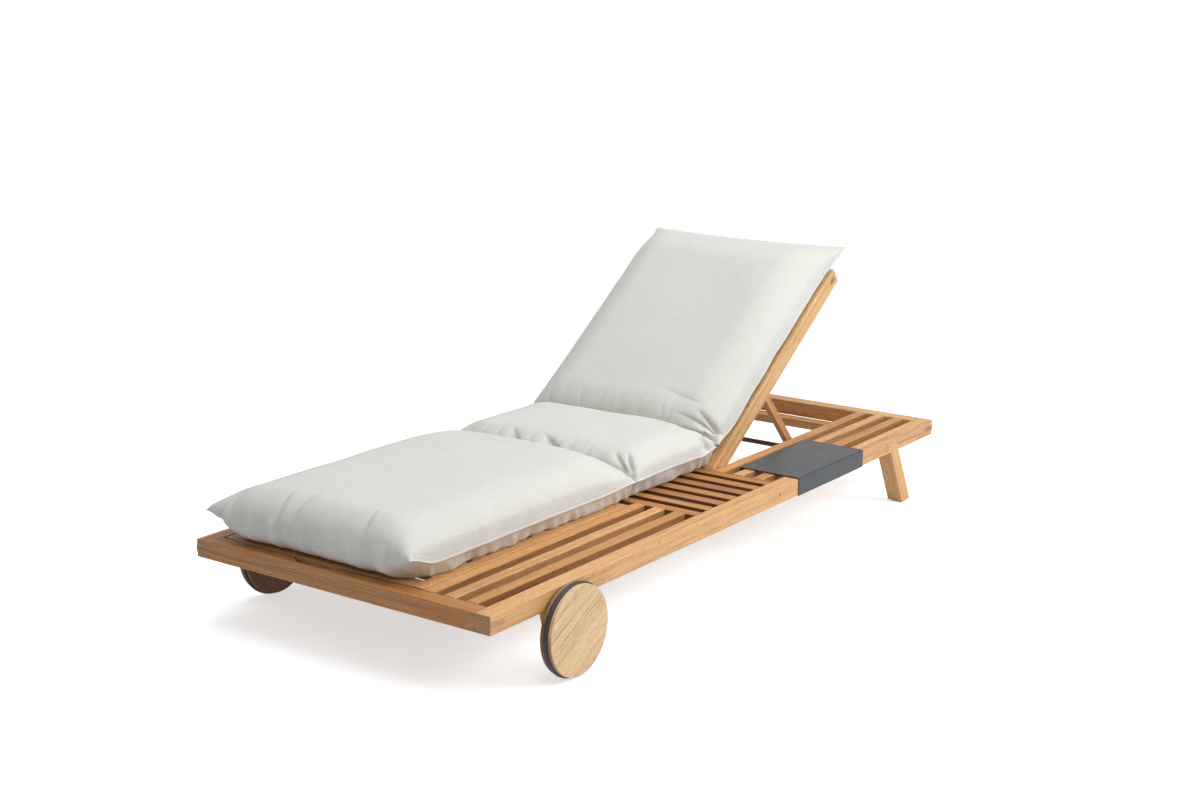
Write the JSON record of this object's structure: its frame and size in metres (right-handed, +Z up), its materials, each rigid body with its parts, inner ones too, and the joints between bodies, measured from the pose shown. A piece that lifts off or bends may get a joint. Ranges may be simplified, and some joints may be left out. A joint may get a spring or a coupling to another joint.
{
  "type": "sun lounger",
  "caption": "Low slatted timber sun lounger with rolling wheels, tilting backrest and leg rest, side shelf, sliding tray and sectioned mattress.",
  "frame": {"origin": "on the floor, under the middle of the frame", "axes": "+Y along the lounger from the foot end to the head end, +X towards the slatted shelf, +Z up"},
  "size_m": [0.963, 2.05, 0.718],
  "materials": {
    "teak": "sanded, lightly oiled teak",
    "seat_teak": "sanded, lightly oiled teak, redder",
    "stainless_steel": "brushed",
    "nylon": "natural nylon",
    "black_nylon": "black nylon",
    "rubber": "satin black rubber",
    "powder_coat": "anthracite powder coat",
    "linen": "plain weave, light grey-beige"
  },
  "bodies": {
    "root": {"side_rail_left": "teak", "side_rail_right": "teak", "foot_rail": "teak", "head_rail": "teak", "shelf_bar_foot_1": "teak", "shelf_bar_foot_2": "teak", "shelf_bar_foot_3": "teak", "shelf_bar_head_1": "teak", "shelf_bar_head_2": "teak", "shelf_bar_head_3": "teak", "seat_slat_1": "seat_teak", "seat_slat_2": "seat_teak", "seat_slat_3": "seat_teak", "seat_slat_4": "seat_teak", "seat_slat_5": "seat_teak", "seat_slat_6": "seat_teak", "seat_slat_7": "seat_teak", "support_batten_left": "teak", "support_batten_right": "teak", "foot_cross_batten": "teak", "head_cross_batten": "teak", "head_leg_left": "teak", "head_leg_right": "teak", "wheel_bracket_left": "teak", "wheel_bracket_right": "teak", "batten_screws": "stainless_steel", "leg_glides": "black_nylon", "axle_bushes": "nylon", "hinge_pins": "stainless_steel", "mattress_seat": "linen"},
    "wheel_left": {"wheel_left_inner_disc": "teak", "wheel_left_outer_disc": "teak", "wheel_left_tyre": "rubber", "axle_bolt_left": "stainless_steel"},
    "wheel_right": {"wheel_right_inner_disc": "teak", "wheel_right_outer_disc": "teak", "wheel_right_tyre": "rubber", "axle_bolt_right": "stainless_steel"},
    "tray": {"tray": "powder_coat", "tray_glides": "black_nylon"},
    "backrest": {"backrest_stile_left": "teak", "backrest_stile_right": "teak", "backrest_end_rail": "teak", "backrest_low_rail": "teak", "backrest_slats": "teak", "backrest_prop_pins": "stainless_steel", "mattress_back": "linen"},
    "prop": {"prop_arm_left": "teak", "prop_arm_right": "teak", "prop_rod": "teak"},
    "leg_rest": {"leg_rest_stile_left": "teak", "leg_rest_stile_right": "teak", "leg_rest_end_rail": "teak", "leg_rest_low_rail": "teak", "leg_rest_slats": "teak", "leg_rest_prop_pins": "stainless_steel", "mattress_leg": "linen"},
    "leg_prop": {"leg_prop_arm_left": "teak", "leg_prop_arm_right": "teak", "leg_prop_rod": "teak"}
  },
  "joints": [
    {"name": "backrest_tilt", "type": "hinge", "parent": "root", "child": "backrest", "pos_m": [0, 0.19496, 0.1915], "axis": [1, 0, 0], "range_deg": [-35.7, 9.3]},
    {"name": "prop_swing", "type": "hinge", "parent": "backrest", "child": "prop", "pos_m": [0, 0.47708, 0.38991], "axis": [1, 0, 0], "range_deg": [-22.2, 84.8]},
    {"name": "leg_rest_tilt", "type": "hinge", "parent": "root", "child": "leg_rest", "pos_m": [0, -0.19324, 0.1915], "axis": [-1, 0, 0], "range_deg": [0, 20]},
    {"name": "leg_prop_swing", "type": "hinge", "parent": "leg_rest", "child": "leg_prop", "pos_m": [0, -0.59296, 0.188], "axis": [-1, 0, 0], "range_deg": [-54.3, 0.1]},
    {"name": "wheel_left_spin", "type": "hinge", "parent": "root", "child": "wheel_left", "pos_m": [-0.466, -0.759, 0.109], "axis": [1, 0, 0], "continuous": true},
    {"name": "wheel_right_spin", "type": "hinge", "parent": "root", "child": "wheel_right", "pos_m": [0.466, -0.759, 0.109], "axis": [1, 0, 0], "continuous": true},
    {"name": "tray_slide", "type": "slide", "parent": "root", "child": "tray", "axis": [0, 1, 0], "range_m": [-0.056, 0.385]}
  ],
  "couplings": [
    {"joint": "prop_swing", "follows": "backrest_tilt", "ratio": -2.3697},
    {"joint": "leg_prop_swing", "follows": "leg_rest_tilt", "ratio": -2.6977}
  ]
}
